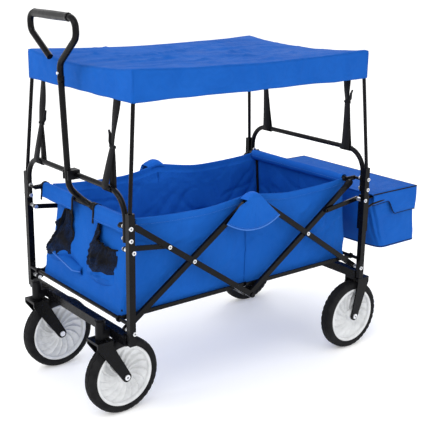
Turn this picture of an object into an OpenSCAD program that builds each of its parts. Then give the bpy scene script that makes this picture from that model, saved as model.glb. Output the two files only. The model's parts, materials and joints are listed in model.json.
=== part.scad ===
// Folding pull wagon with a canopy, a fabric tub, a rear basket and four wheels.
// +X is the wagon's left side, -Y its front (handle end), +Z up; the wheels stand on z = 0.
// Lengths along Y are counted from the middle of the open frame, then moved by frame_shift.

/* [Frame] */
// Distance between the left and right posts, centre to centre
post_span_x = 480; // [460:5:500]
// Distance between the front and rear posts, centre to centre
post_span_y = 748; // [728:4:768]
// Post width across the wagon
post_w = 14; // [12:1:16]
// Post depth along the wagon
post_d = 16; // [15:1:20]
// Height of the posts' lower ends
post_bottom = 206; // [206:1:208]
// Height of the posts' upper ends
post_top = 517; // [510:1:525]
// Radius of the hoop tubes
hoop_r = 6.5; // [5.5:0.5:7]
// Height of the hoops' top bars
hoop_top = 560; // [555:5:580]
// Radius of the fabric rails
rail_r = 7; // [6:0.5:7]

/* [Scissor linkage] */
// Height of the lower brace pivots
pivot_low = 236; // [234:1:238]
// Height of the upper centre pivot
pivot_high = 492; // [488:1:496]
// Width of a brace
brace_w = 14; // [12:1:15]
// Thickness of a brace
brace_t = 8; // [6:1:8]
// Height of the short links' pivots on the posts
link_z = 428; // [427:1:430]

/* [Wheels] */
// Wheel radius
wheel_r = 95.5; // [93:0.5:95.5]
// Tyre width
tyre_w = 34; // [28:1:36]
// Radius of the hub's rim under the tyre
rim_r = 76; // [70:1:80]
// Distance of the front wheels from the centre line
front_wheel_x = 156; // [150:1:158]
// Distance of the rear wheels from the centre line
rear_wheel_x = 220; // [216:1:222]
// Distance the front wheels trail behind their swivel axes
trail = 56; // [50:1:56]

/* [Handle] */
// Radius of the handle tube
handle_r = 7.5; // [6.5:0.5:7.5]
// Radius of the grip
grip_r = 10; // [9:0.5:12]
// Sideways position of the shaft
shaft_x = 6; // [4:1:8]
// Height of the middle of the grip
grip_z = 924; // [915:1:930]

/* [Fabric] */
// Half the width of the tub
tub_x = 188; // [180:1:188]
// Height of the tub's underside
tub_bottom = 266; // [266:1:270]
// Height of the tub's rim
tub_top = 492; // [480:1:494]
// Thickness of the soft solids
cloth = 2; // [1.5:0.5:2.5]
// Half the width of the canopy
canopy_x = 234; // [230:1:238]
// Half the length of the canopy
canopy_y = 360; // [355:1:365]
// Height of the canopy's hem
canopy_low = 757; // [750:1:760]
// Height of the canopy's top
canopy_high = 824; // [818:1:828]

/* [Basket] */
// Half the width of the basket
basket_x = 225; // [215:1:228]
// Start of the basket behind the frame's middle
basket_y0 = 424; // [420:1:428]
// End of the basket behind the frame's middle
basket_y1 = 598; // [590:1:604]
// Height of the basket's underside
basket_low = 280; // [275:1:300]
// Height of the basket's rim
basket_high = 430; // [425:1:432]

/* [Hidden] */
$fn = 48;
frame_shift = -80;
px = post_span_x / 2;
py = post_span_y / 2;
axle_z = wheel_r;
axle_r = 4;
run = 0.06;                        // radial play of a running fit
pivot_y = py - 4;                  // lower brace pivots sit near the posts' inner edge
rise = pivot_high - pivot_low;
brace_angle = atan(rise / pivot_y);
brace_len = norm([pivot_y, rise]);
top_cut = 30;                      // the rail-end braces stop this short of full length
link_arm = 138.5;                  // from a full brace's end to the short link's pivot
inner_x = 206;                     // inner layer of braces starts here
outer_x = 215;                     // outer layer of braces starts here
pivot_r = 3;
head_r = 5;
head_t = 2.5;
hoop_x = px - post_w / 2 - hoop_r - 0.5;
hoop_y = py + 3;
hoop_foot = 450;
hoop_bend = 60;
bolt_heights = [485, 457];
rail_y = py - 29;
rail_z = 482;
floor_z = 258;
floor_bar_r = 4.5;
floor_bar_y = py + 3.5;
beam_low = 204;
beam_h = 22;
pole_r = 5.2;
pole_foot = 494;
pole_bend_z = 530;
pole_top = canopy_high - 5;
stem_y = py + 31;
stem_r = 6;
front_axle_y = -stem_y + trail;
rear_axle_y = py - 14;
crown_low = 194;
fork_gap = tyre_w / 2 + 4;
fork_t = 4;
lean = 2.5;                        // backward lean of the shaft's upper run
foot_lean = 45;                    // lean of the shaft's foot under the hoop
foot_run = 66.5;                   // from the rail's axis to the knee
knee_bend = 50;
foot_len = 54;
socket_z = 790;                    // upper end of the outer tube
stem_len = 180;                    // inner tube inside the outer one
pocket_in = 30;
pocket_out = 160;
strap_x = 150;
strap_w = 18;

// ---------- helpers ----------
module placed() {
    translate([0, frame_shift, 0]) children();
}
module both_sides() {
    children();
    mirror([1, 0, 0]) children();
}
// A shape drawn in the side plane (Y to the right, Z up), thick from x0 to x0 + t.
module side_plate(x0, t) {
    translate([x0, 0, 0]) rotate([90, 0, 90]) linear_extrude(t) children();
}
// A cylinder along X from x0 to x1.
module x_rod(x0, x1, y, z, r) {
    translate([x0, y, z]) rotate([0, 90, 0]) cylinder(h = x1 - x0, r = r);
}
// A cylinder along Y from y0 to y1.
module y_rod(y0, y1, x, z, r) {
    translate([x, y0, z]) rotate([-90, 0, 0]) cylinder(h = y1 - y0, r = r);
}
// A flat bar with round ends, from the origin along +X, with holes at the distances given.
module bar_outline(len, w, holes, hole_r) {
    difference() {
        union() {
            translate([0, -w / 2]) square([len, w]);
            circle(r = w / 2);
            translate([len, 0]) circle(r = w / 2);
        }
        for (d = holes) translate([d, 0]) circle(r = hole_r);
    }
}
// The same bar in the side plane: from (y, z), rising by angle a.
module side_bar(x0, t, y, z, a, len, w, holes, hole_r) {
    side_plate(x0, t) translate([y, z]) rotate(a) bar_outline(len, w, holes, hole_r);
}
function heading(p, q) = atan2(q[1] - p[1], q[0] - p[0]);
function wrapped(a) = a > 180 ? a - 360 : (a < -180 ? a + 360 : a);
function turn(pts, i) = (i <= 0 || i >= len(pts) - 1) ? 0
    : wrapped(heading(pts[i], pts[i + 1]) - heading(pts[i - 1], pts[i]));
function tangent(pts, bends, i) = bends[i] * tan(abs(turn(pts, i)) / 2);
// A round tube bent in the XY plane: corner points and the bend radius at each.
// The bends are a little fuller than the straights, which run half a millimetre into them.
module bent_tube(pts, bends, r) {
    for (i = [0 : len(pts) - 2]) {
        a = heading(pts[i], pts[i + 1]);
        t0 = tangent(pts, bends, i) - (i > 0 ? 0.5 : 0);
        t1 = tangent(pts, bends, i + 1) - (i < len(pts) - 2 ? 0.5 : 0);
        run_len = norm(pts[i + 1] - pts[i]) - t0 - t1;
        translate([pts[i][0], pts[i][1], 0]) rotate([0, 0, a]) translate([t0, 0, 0])
            rotate([0, 90, 0]) cylinder(h = run_len, r = r);
    }
    for (i = [1 : 1 : len(pts) - 2]) {
        a = heading(pts[i - 1], pts[i]);
        w = turn(pts, i);
        side = w > 0 ? 1 : -1;
        t = tangent(pts, bends, i);
        translate([pts[i][0], pts[i][1], 0]) rotate([0, 0, a]) translate([-t, side * bends[i], 0])
            rotate([0, 0, w > 0 ? -90 : 90 - abs(w)])
                rotate_extrude(angle = abs(w)) translate([bends[i], 0]) circle(r = r + 0.05);
    }
}
// A button-headed rivet along X from x0 to x1 with its heads outside.
module rivet(x0, x1, y, z) {
    x_rod(x0, x1, y, z, pivot_r);
    x_rod(x1, x1 + head_t, y, z, head_r);
    x_rod(x0 - head_t, x0, y, z, head_r);
}

// ---------- end frames: e = -1 is the front one, e = 1 the rear one ----------
module posts(e) {
    both_sides() difference() {
        translate([px - post_w / 2, e * py - post_d / 2, post_bottom])
            cube([post_w, post_d, post_top - post_bottom]);
        translate([px, e * py, pole_foot - 1]) cylinder(h = 60, r = pole_r + run);
        for (z = bolt_heights) x_rod(px - 10, px + 10, e * hoop_y, z, pivot_r);
        for (z = [link_z, pivot_low]) x_rod(px - 10, px + 10, e * pivot_y, z, pivot_r);
    }
}
module hoop(e) {
    translate([0, e * hoop_y, 0]) rotate([90, 0, 0]) difference() {
        bent_tube(
            [[-hoop_x, hoop_foot], [-hoop_x, hoop_top], [hoop_x, hoop_top], [hoop_x, hoop_foot]],
            [0, hoop_bend, hoop_bend, 0], hoop_r);
        for (z = bolt_heights)
            translate([-px, z, 0]) rotate([0, 90, 0]) cylinder(h = 2 * px, r = pivot_r);
    }
}
module rail(e) {
    out = hoop_x - hoop_r - head_t - 0.1;
    translate([0, 0, rail_z]) bent_tube(
        [[-out, e * hoop_y], [-198, e * hoop_y], [-198, e * rail_y],
         [198, e * rail_y], [198, e * hoop_y], [out, e * hoop_y]],
        [0, 12, 12, 12, 12, 0], rail_r);
}
module base_beam(e) {
    translate([-px + post_w / 2, e * py - beam_h / 2, beam_low])
        difference() {
            cube([2 * px - post_w, beam_h, beam_h]);
            translate([-1, 2, 2]) cube([2 * px, beam_h - 4, beam_h - 4]);
        }
}
module floor_bar(e) {
    x_rod(-px + post_w / 2, px - post_w / 2, e * floor_bar_y, floor_z, floor_bar_r);
}
// Rivets and bolts of one end frame, with the spacers that carry the braces and links.
module frame_bolts(e, link_x, brace_x) {
    out = px + post_w / 2;
    both_sides() {
        for (z = bolt_heights) {
            x_rod(hoop_x - hoop_r, out, e * hoop_y, z, pivot_r);
            x_rod(out, out + head_t, e * hoop_y, z, head_r);
            x_rod(hoop_x - hoop_r - head_t, hoop_x - hoop_r, e * hoop_y, z, head_r);
        }
        pivot_bolt(e, link_z, link_x, 4);
        pivot_bolt(e, pivot_low, brace_x, brace_t);
    }
}
module pivot_bolt(e, z, x0, t) {
    out = px + post_w / 2;
    x_rod(x0 - 0.2, out, e * pivot_y, z, pivot_r);
    x_rod(out, out + head_t, e * pivot_y, z, head_r);
    x_rod(x0 - 0.2 - head_t, x0 - 0.2, e * pivot_y, z, head_r);
    difference() {
        x_rod(x0 + t + 0.2, px - post_w / 2, e * pivot_y, z, head_r);
        x_rod(x0, out, e * pivot_y, z, pivot_r);
    }
}

// ---------- wheels and forks ----------
module tyre(x, y) {
    w = tyre_w / 2;
    translate([x, y, axle_z]) rotate([0, 90, 0]) rotate_extrude($fn = 96) difference() {
        union() {
            translate([rim_r, -w + 5]) square([wheel_r - rim_r, 2 * w - 10]);
            translate([rim_r, -w]) square([wheel_r - rim_r - 5, 2 * w]);
            for (s = [-1, 1]) translate([wheel_r - 5, s * (w - 5)]) circle(r = 5, $fn = 24);
        }
        translate([rim_r - 1, -5]) square([5, 10]);
    }
}
module hub(x, y) {
    translate([x, y, axle_z]) rotate([0, 90, 0]) {
        difference() {
            union() {
                rotate_extrude($fn = 96) union() {
                    translate([axle_r + run, -18]) square([12, 36]);
                    translate([12, -2]) square([rim_r - 14, 4]);
                    translate([rim_r - 6, -15]) square([6, 30]);
                    translate([rim_r - 1, -4.8]) square([4.8, 9.6]);
                }
                for (i = [0 : 11]) rotate([0, 0, i * 30]) translate([14, -1.25, -11])
                    cube([rim_r - 18, 2.5, 22]);
            }
            translate([0, 0, -30]) cylinder(h = 60, r = axle_r + run);
        }
    }
}
module axle(x, y) {
    reach = fork_gap + fork_t;
    x_rod(x - reach, x + reach, y, axle_z, axle_r);
    for (s = [-1, 1]) x_rod(x + s * (reach + 1.5) - 1.5, x + s * (reach + 1.5) + 1.5, y, axle_z, 7);
}
// One side plate of a fork, from the crown at crown_y, crown_z down to the axle.
module fork_arm_outline(crown_y, crown_z, axle_y) {
    s = sign(axle_y - crown_y);
    difference() {
        union() {
            polygon([
                [crown_y - s * 22, crown_z + 6], [crown_y - s * 22, crown_z - 8],
                [axle_y - s * 11, axle_z - 5], [axle_y + s * 11, axle_z + 5],
                [crown_y + s * 20, crown_z - 8], [crown_y + s * 20, crown_z + 6]
            ]);
            translate([axle_y, axle_z]) circle(r = 12);
        }
        translate([axle_y, axle_z]) circle(r = axle_r);
    }
}
module fork(x, crown_y, crown_z, axle_y) {
    for (x0 = [x + fork_gap, x - fork_gap - fork_t])
        side_plate(x0, fork_t) fork_arm_outline(crown_y, crown_z, axle_y);
    translate([x - fork_gap, crown_y - 22, crown_z]) cube([2 * fork_gap, 44, 6]);
}
module caster_fork(x) {
    color("#1c1c1f") placed() {
        fork(x, -stem_y, crown_low, front_axle_y);
        translate([x, -stem_y, crown_low + 6]) cylinder(h = 2, r = 13);
        translate([x, -stem_y, crown_low + 6]) cylinder(h = 44, r = stem_r);
    }
}

// ---------- front frame ----------
module front_posts() {
    color("#202024") placed() posts(-1);
}
module front_hoop() {
    color("#202024") placed() hoop(-1);
}
module front_rail() {
    color("#202024") placed() rail(-1);
}
module front_base_beam() {
    color("#202024") placed() base_beam(-1);
}
module front_floor_bar() {
    color("#202024") placed() floor_bar(-1);
}
module caster_housings() {
    color("#1c1c1f") placed() both_sides() difference() {
        union() {
            translate([front_wheel_x, -stem_y, crown_low + 8.3]) cylinder(h = 44, r = 12);
            translate([front_wheel_x, -stem_y, crown_low + 52.3]) cylinder(h = 5, r = 9);
            translate([front_wheel_x - 11, -stem_y, beam_low + 1])
                cube([22, stem_y - py - beam_h / 2, 20]);
        }
        translate([front_wheel_x, -stem_y, 0]) cylinder(h = crown_low + 51, r = stem_r + run);
    }
}
module front_frame_bolts() {
    color("#c9cacc") placed() frame_bolts(-1, 209.5, inner_x);
}
module handle_clip() {
    slot = handle_r + 0.4;
    color("#18181a") placed() difference() {
        translate([shaft_x - 13, -hoop_y - 23, hoop_top - 11]) cube([26, 32, 22]);
        x_rod(shaft_x - 20, shaft_x + 20, -hoop_y, hoop_top, hoop_r + 0.02);
        translate([shaft_x - slot, -hoop_y - 40, hoop_top - 20]) cube([2 * slot, 32, 40]);
    }
}

// ---------- wheels ----------
module left_caster_fork() {
    caster_fork(front_wheel_x);
}
module right_caster_fork() {
    caster_fork(-front_wheel_x);
}
module front_left_axle() {
    color("#c9cacc") placed() axle(front_wheel_x, front_axle_y);
}
module front_right_axle() {
    color("#c9cacc") placed() axle(-front_wheel_x, front_axle_y);
}
module front_left_tyre() {
    color("#222222") placed() tyre(front_wheel_x, front_axle_y);
}
module front_right_tyre() {
    color("#222222") placed() tyre(-front_wheel_x, front_axle_y);
}
module front_left_hub() {
    color("#e8e8e8") placed() hub(front_wheel_x, front_axle_y);
}
module front_right_hub() {
    color("#e8e8e8") placed() hub(-front_wheel_x, front_axle_y);
}
module rear_left_tyre() {
    color("#222222") placed() tyre(rear_wheel_x, rear_axle_y);
}
module rear_right_tyre() {
    color("#222222") placed() tyre(-rear_wheel_x, rear_axle_y);
}
module rear_left_hub() {
    color("#e8e8e8") placed() hub(rear_wheel_x, rear_axle_y);
}
module rear_right_hub() {
    color("#e8e8e8") placed() hub(-rear_wheel_x, rear_axle_y);
}
module rear_axles() {
    color("#c9cacc") placed() both_sides() axle(rear_wheel_x, rear_axle_y);
}

// ---------- rear frame ----------
module rear_posts() {
    color("#202024") placed() posts(1);
}
module rear_hoop() {
    color("#202024") placed() hoop(1);
}
module rear_rail() {
    color("#202024") placed() rail(1);
}
module rear_base_beam() {
    color("#202024") placed() base_beam(1);
}
module rear_floor_bar() {
    color("#202024") placed() floor_bar(1);
}
module rear_forks() {
    color("#1c1c1f") placed() both_sides()
        fork(rear_wheel_x, rear_axle_y + 26, beam_low - 6, rear_axle_y);
}
module rear_frame_bolts() {
    color("#c9cacc") placed() frame_bolts(1, outer_x, outer_x);
}

// ---------- scissor linkage ----------
// A brace that climbs from a post's foot to the upper centre pivot.
module foot_brace(e, x0) {
    both_sides() side_bar(x0, brace_t, e * pivot_y, pivot_low, e < 0 ? brace_angle : 180 - brace_angle,
        brace_len, brace_w, [0, brace_len / 2, brace_len], pivot_r + run);
}
// A brace that falls from the tub's end rail to the lower centre pivot.
module rail_brace(e, x0, hole_r) {
    len = brace_len - top_cut;
    both_sides() side_plate(x0, brace_t) translate([0, pivot_low])
        rotate(e < 0 ? 180 - brace_angle : brace_angle) difference() {
            bar_outline(len, brace_w, [brace_len / 2, brace_len - link_arm], pivot_r + run);
            circle(r = hole_r);
        }
}
module front_rising_braces() {
    color("#202024") placed() foot_brace(-1, inner_x);
}
module front_falling_braces() {
    color("#202024") placed() rail_brace(-1, outer_x, 4 + run);
}
module rear_falling_braces() {
    color("#202024") placed() foot_brace(1, outer_x);
}
module rear_rising_braces() {
    color("#202024") placed() rail_brace(1, inner_x, 4 + run);
}
// Rivets that a rail-end brace carries: at its crossing, and at its short link.
module brace_rivets(e, x0) {
    d = brace_len - link_arm;
    both_sides() {
        rivet(inner_x - 0.2, outer_x + brace_t + 0.2, e * pivot_y / 2, pivot_low + rise / 2);
        x_rod(x0, x0 + brace_t + 0.2, e * d * cos(brace_angle), pivot_low + d * sin(brace_angle), pivot_r);
    }
}
module front_brace_rivets() {
    d = brace_len - link_arm;
    color("#c9cacc") placed() {
        brace_rivets(-1, outer_x);
        both_sides() x_rod(outer_x + brace_t + 0.2, outer_x + brace_t + 2.4,
            -d * cos(brace_angle), pivot_low + d * sin(brace_angle), head_r);
    }
}
module rear_brace_rivets() {
    color("#c9cacc") placed() brace_rivets(1, inner_x);
}
module top_centre_rivets() {
    color("#c9cacc") placed() both_sides() {
        x_rod(inner_x - 0.2, outer_x + brace_t + 0.2, 0, pivot_high, pivot_r);
        x_rod(inner_x - 2.2, inner_x - 0.2, 0, pivot_high, head_r);
        x_rod(outer_x + brace_t + 0.2, outer_x + brace_t + 1.2, 0, pivot_high, head_r);
    }
}
module brace_cap(e, x0) {
    len = brace_len - top_cut;
    both_sides() difference() {
        side_plate(x0 - 0.7, brace_t + 1.4) translate([0, pivot_low])
            rotate(e < 0 ? 180 - brace_angle : brace_angle) translate([len, 0]) {
                circle(r = brace_w / 2 + 0.7);
                translate([-14, -brace_w / 2 - 0.7]) square([14, brace_w + 1.4]);
            }
        side_plate(x0, brace_t) translate([0, pivot_low])
            rotate(e < 0 ? 180 - brace_angle : brace_angle) bar_outline(len, brace_w, [], 1);
    }
}
module brace_end_caps() {
    color("#141416") placed() brace_cap(-1, outer_x);
}
module rear_brace_caps() {
    color("#141416") placed() brace_cap(1, inner_x);
}
module centre_tube() {
    color("#202024") placed() {
        x_rod(-inner_x + 0.3, inner_x - 0.3, 0, pivot_low, 8);
        both_sides() {
            x_rod(inner_x - 0.3, outer_x + brace_t + 0.3, 0, pivot_low, 4);
            x_rod(outer_x + brace_t + 0.3, outer_x + brace_t + 2.8, 0, pivot_low, 6);
            side_plate(196, 6) difference() {
                polygon([[-34, 251.5], [34, 251.5], [10, 232], [-10, 232]]);
                translate([0, pivot_low]) circle(r = 8);
            }
        }
    }
}
// Short link between a post and the rail-end brace beside it.
module short_link(e, x0) {
    from = [e * pivot_y, link_z];
    d = brace_len - link_arm;
    tip = [e * d * cos(brace_angle), pivot_low + d * sin(brace_angle)];
    a = heading(from, tip);
    len = norm(tip - from);
    both_sides() side_bar(x0, 4, from[0], from[1], a, len, 12, [0, len], pivot_r + run);
}
module front_links() {
    color("#202024") placed() short_link(-1, 209.5);
}
module rear_links() {
    color("#202024") placed() short_link(1, outer_x);
}
module floor_rail(e, x0) {
    both_sides() side_plate(x0, 4.5) difference() {
        union() {
            translate([e < 0 ? -floor_bar_y : 0, floor_z - 5]) square([floor_bar_y, 10]);
            translate([e * floor_bar_y, floor_z]) circle(r = 8);
            translate([0, floor_z]) circle(r = 5);
        }
        translate([e * floor_bar_y, floor_z]) circle(r = floor_bar_r + run);
    }
}
module front_floor_rails() {
    color("#202024") placed() floor_rail(-1, 193);
}
module rear_floor_rails() {
    color("#202024") placed() floor_rail(1, 198);
}

// ---------- handle ----------
// The shaft's foot, knee and socket, in the side plane.
foot_dir = [-sin(foot_lean), cos(foot_lean)];
knee = [-rail_y, rail_z] + foot_run * foot_dir;
socket = [knee[0] - (socket_z - knee[1]) * tan(lean), socket_z];
// Moves a shape drawn with +Z along the shaft and its origin at the socket's mouth.
module on_shaft() {
    translate([shaft_x, socket[0], socket[1]]) rotate([lean, 0, 0]) children();
}
module handle_tube() {
    color("#1c1c1f") placed() difference() {
        union() {
            x_rod(shaft_x - 10, shaft_x - 10 + foot_len, -rail_y, rail_z, rail_r + 2.5);
            translate([shaft_x, 0, 0]) rotate([90, 0, 90])
                bent_tube([[-rail_y, rail_z] + 3 * foot_dir, knee, socket], [0, knee_bend, 0], handle_r);
        }
        x_rod(-60, 100, -rail_y, rail_z, rail_r + run);
        on_shaft() translate([0, 0, -stem_len - 4]) cylinder(h = stem_len + 10, r = 6 + run);
    }
}
// The loop's centre line beside and above the socket's mouth.
grip_v = (grip_z - socket_z) / cos(lean);
loop_line = [[0, 0.4], [0, 28], [82, 92], [82, grip_v], [-127, grip_v], [-127, grip_v - 40], [-44, 39]];
loop_bends = [0, 30, 28, 22, 22, 20, 0];
grip_from = -103;
grip_len = 158;
button_v = 7.5;
module handle_loop() {
    color("#1c1c1f") placed() on_shaft() difference() {
        union() {
            rotate([90, 0, 0]) bent_tube(loop_line, loop_bends, handle_r);
            translate([0, 0, -stem_len]) cylinder(h = stem_len + 5, r = 6);
        }
        y_rod(-handle_r - 2, -2, 0, button_v, 3.6);
    }
}
module handle_grip() {
    color("#2a2a2d") placed() on_shaft() difference() {
        x_rod(grip_from, grip_from + grip_len, 0, grip_v, grip_r);
        x_rod(grip_from - 1, grip_from + grip_len + 1, 0, grip_v, handle_r);
    }
}
module snap_button() {
    color("#b8babd") placed() on_shaft() y_rod(-handle_r - 2, -handle_r + 1.5, 0, button_v, 3.5);
}

// ---------- canopy ----------
module canopy_poles(e) {
    reach = [-12 - px + canopy_x, e * (canopy_y - 14 - py)];
    rise_z = pole_bend_z - pole_foot;
    color("#202024") placed() both_sides() translate([px, e * py, pole_foot])
        rotate([90, 0, atan2(reach[1], reach[0])])
            bent_tube([[0, 0], [0, rise_z], [norm(reach), pole_top - pole_foot]], [0, 60, 0], pole_r);
}
module front_canopy_poles() {
    canopy_poles(-1);
}
module rear_canopy_poles() {
    canopy_poles(1);
}
module canopy() {
    color("#2a6fd0") placed() difference() {
        translate([-canopy_x, -canopy_y, canopy_low])
            cube([2 * canopy_x, 2 * canopy_y, canopy_high - canopy_low]);
        translate([-canopy_x + cloth, -canopy_y + cloth, canopy_low - 1])
            cube([2 * (canopy_x - cloth), 2 * (canopy_y - cloth), canopy_high - canopy_low - cloth]);
    }
}
// Webbing from the canopy's hem down to a hoop.
module straps(e) {
    low = hoop_y - hoop_r - 2.6;
    high = canopy_y - cloth - 1;
    color("#1b1b1d") placed() both_sides() side_plate(strap_x - strap_w / 2, strap_w)
        polygon([
            [e * low, hoop_top - 2], [e * (low - 1.5), hoop_top - 2],
            [e * (high - 1.5), canopy_low + 20], [e * high, canopy_low + 20]
        ]);
}
module front_straps() {
    straps(-1);
}
module rear_straps() {
    straps(1);
}
// The straps' loops around a hoop, with loose tails.
module strap_loops(e) {
    color("#1b1b1d") placed() both_sides() {
        difference() {
            x_rod(strap_x - strap_w / 2, strap_x + strap_w / 2, e * hoop_y, hoop_top, hoop_r + 1.8);
            x_rod(strap_x - strap_w, strap_x + strap_w, e * hoop_y, hoop_top, hoop_r + 0.1);
        }
        translate([strap_x - 8, e * (hoop_y + hoop_r + 0.9) - 0.7, hoop_top - 60]) cube([16, 1.4, 58]);
    }
}
module front_strap_loops() {
    strap_loops(-1);
}
module rear_strap_loops() {
    strap_loops(1);
}

// ---------- tub ----------
tub_low_y = py - 9;                // half length at the floor
tub_high_y = rail_y - rail_r - 7;  // half length at the rim
module tub_outline(inset, low) {
    polygon([
        [-tub_low_y + inset, low], [tub_low_y - inset, low],
        [tub_high_y - inset, tub_top + 10], [-tub_high_y + inset, tub_top + 10]
    ]);
}
module tub() {
    color("#1f5fc0") placed() difference() {
        side_plate(-tub_x, 2 * tub_x) tub_outline(0, tub_bottom);
        side_plate(-tub_x + cloth, 2 * (tub_x - cloth)) tub_outline(cloth, tub_bottom + cloth);
        translate([-px, -py - 20, tub_top]) cube([2 * px, 2 * py + 40, 40]);
    }
}
// Hems that fold over the front rail on both sides of the handle's foot.
module front_hems() {
    y = -rail_y - rail_r;
    color("#2a6fd0") placed() for (x = [-190, 56]) side_plate(x, 134)
        polygon([
            [y - 2.5, rail_z - 22], [y - 0.5, rail_z - 22], [y - 0.5, rail_z + rail_r + 0.5],
            [-tub_high_y - 3, rail_z + rail_r + 0.5], [-tub_high_y - 3, rail_z + rail_r + 2.5],
            [y - 2.5, rail_z + rail_r + 2.5]
        ]);
}
// Half-round flaps that cover the upper centre pivots.
module side_flaps() {
    x0 = outer_x + brace_t + 1.6;
    z1 = pivot_high + 12;
    color("#2a6fd0") placed() both_sides() {
        side_plate(x0, cloth) intersection() {
            translate([0, z1]) circle(r = 54);
            translate([-54, z1 - 54]) square([108, 54]);
        }
        translate([tub_x - cloth, -30, z1]) cube([x0 + cloth - tub_x + cloth, 60, cloth]);
        translate([tub_x - cloth, -30, tub_top + 0.3]) cube([cloth, 60, z1 - tub_top - 0.3]);
    }
}
// Open-topped mesh pockets on the front panel.
module cup_pockets() {
    color("#17181b") placed() both_sides() difference() {
        translate([pocket_in, -tub_low_y - 30, 335]) cube([pocket_out - pocket_in, 60, 90]);
        translate([pocket_in + 1.5, -tub_low_y - 28.5, 336.5])
            cube([pocket_out - pocket_in - 3, 60, 100]);
        side_plate(-px, 2 * px) offset_tub();
    }
}
module offset_tub() {
    polygon([
        [-tub_low_y - 0.4, tub_bottom], [0, tub_bottom],
        [0, tub_top + 10], [-tub_high_y - 0.4, tub_top + 10]
    ]);
}

// ---------- rear basket ----------
module basket_frame() {
    back = basket_y1 - 8;
    arm_x = basket_x - 7;
    color("#202024") placed() {
        translate([0, 0, basket_high - 6]) bent_tube(
            [[-arm_x, py + post_d / 2 + 2], [-arm_x, back], [arm_x, back], [arm_x, py + post_d / 2 + 2]],
            [0, 20, 20, 0], 4);
        both_sides() translate([px - 28, py + post_d / 2 + 0.2, basket_high - 90])
            cube([35, 3, 96]);
    }
}
module basket_bag() {
    color("#1f5fc0") placed() difference() {
        translate([-basket_x, basket_y0, basket_low])
            cube([2 * basket_x, basket_y1 - basket_y0, basket_high - basket_low]);
        translate([-basket_x + cloth, basket_y0 + cloth, basket_low + cloth])
            cube([2 * (basket_x - cloth), basket_y1 - basket_y0 - 2 * cloth, basket_high]);
        both_sides() y_rod(basket_y0 - 5, basket_y0 + 5, basket_x - 7, basket_high - 6, 4.3);
    }
}
module basket_lid() {
    x = basket_x + 6;
    y0 = basket_y0 - 2;
    y1 = basket_y1 + 4;
    color("#2a6fd0") placed() difference() {
        translate([-x, y0, basket_high - 30]) cube([2 * x, y1 - y0, 34]);
        translate([-x + cloth, y0 - 10, basket_high - 40]) cube([2 * (x - cloth), y1 - y0 + 10 - cloth, 42]);
    }
}

front_posts();
front_hoop();
front_rail();
front_base_beam();
front_floor_bar();
caster_housings();
front_frame_bolts();
handle_clip();
left_caster_fork();
right_caster_fork();
front_left_axle();
front_right_axle();
front_left_tyre();
front_right_tyre();
front_left_hub();
front_right_hub();
rear_posts();
rear_hoop();
rear_rail();
rear_base_beam();
rear_floor_bar();
rear_forks();
rear_axles();
rear_frame_bolts();
rear_left_tyre();
rear_right_tyre();
rear_left_hub();
rear_right_hub();
front_rising_braces();
front_falling_braces();
rear_falling_braces();
rear_rising_braces();
front_brace_rivets();
rear_brace_rivets();
top_centre_rivets();
brace_end_caps();
centre_tube();
front_links();
rear_links();
front_floor_rails();
rear_floor_rails();
handle_tube();
handle_loop();
handle_grip();
snap_button();
front_canopy_poles();
rear_canopy_poles();
canopy();
front_straps();
rear_straps();
front_strap_loops();
rear_strap_loops();
tub();
front_hems();
side_flaps();
cup_pockets();
basket_frame();
basket_bag();
basket_lid();
rear_brace_caps();
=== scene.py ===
import json
import math

import bpy
import numpy as np
from mathutils import Matrix, Vector, noise

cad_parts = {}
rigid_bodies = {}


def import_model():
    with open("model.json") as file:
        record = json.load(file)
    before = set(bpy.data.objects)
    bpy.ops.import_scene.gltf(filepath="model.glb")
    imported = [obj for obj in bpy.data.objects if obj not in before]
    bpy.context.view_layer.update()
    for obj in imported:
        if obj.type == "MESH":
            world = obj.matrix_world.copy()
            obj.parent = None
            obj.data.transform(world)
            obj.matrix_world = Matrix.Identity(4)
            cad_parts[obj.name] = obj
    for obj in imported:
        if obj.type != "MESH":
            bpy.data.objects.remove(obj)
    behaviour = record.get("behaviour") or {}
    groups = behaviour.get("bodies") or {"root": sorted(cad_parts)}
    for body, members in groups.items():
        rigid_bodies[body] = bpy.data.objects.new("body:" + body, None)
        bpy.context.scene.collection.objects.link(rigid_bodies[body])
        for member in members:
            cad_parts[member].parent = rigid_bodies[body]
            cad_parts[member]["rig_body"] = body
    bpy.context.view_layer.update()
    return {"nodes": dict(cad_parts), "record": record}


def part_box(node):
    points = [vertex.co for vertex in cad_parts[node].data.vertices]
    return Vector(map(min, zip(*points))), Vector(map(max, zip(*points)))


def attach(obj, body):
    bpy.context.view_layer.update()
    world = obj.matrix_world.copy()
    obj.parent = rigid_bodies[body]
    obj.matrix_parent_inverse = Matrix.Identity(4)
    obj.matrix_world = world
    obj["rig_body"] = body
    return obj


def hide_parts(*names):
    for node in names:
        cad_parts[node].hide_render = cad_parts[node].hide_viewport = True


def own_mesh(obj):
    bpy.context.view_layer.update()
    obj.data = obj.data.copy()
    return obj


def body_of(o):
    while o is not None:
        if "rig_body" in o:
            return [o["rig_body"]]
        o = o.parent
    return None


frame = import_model()

# --- places
# MID is the frame's middle along Y in metres; the other places are millimetres, counted from it.
POST_HALF = 7
front_low, front_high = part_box("front_posts")
rear_low, rear_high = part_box("rear_posts")
MID = (front_low[1] + front_high[1] + rear_low[1] + rear_high[1]) / 4
POST_Y = (rear_low[1] + rear_high[1] - front_low[1] - front_high[1]) / 4 * 1000
POST_X = front_high[0] * 1000 - POST_HALF
RAIL_Y, RAIL_Z = POST_Y - 29, 482
HOOP_Y, HOOP_Z = POST_Y + 3, 560
SHAFT_X = 6
ALONG_X, ALONG_Y, ALONG_Z = Vector((1, 0, 0)), Vector((0, 1, 0)), Vector((0, 0, 1))


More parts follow.
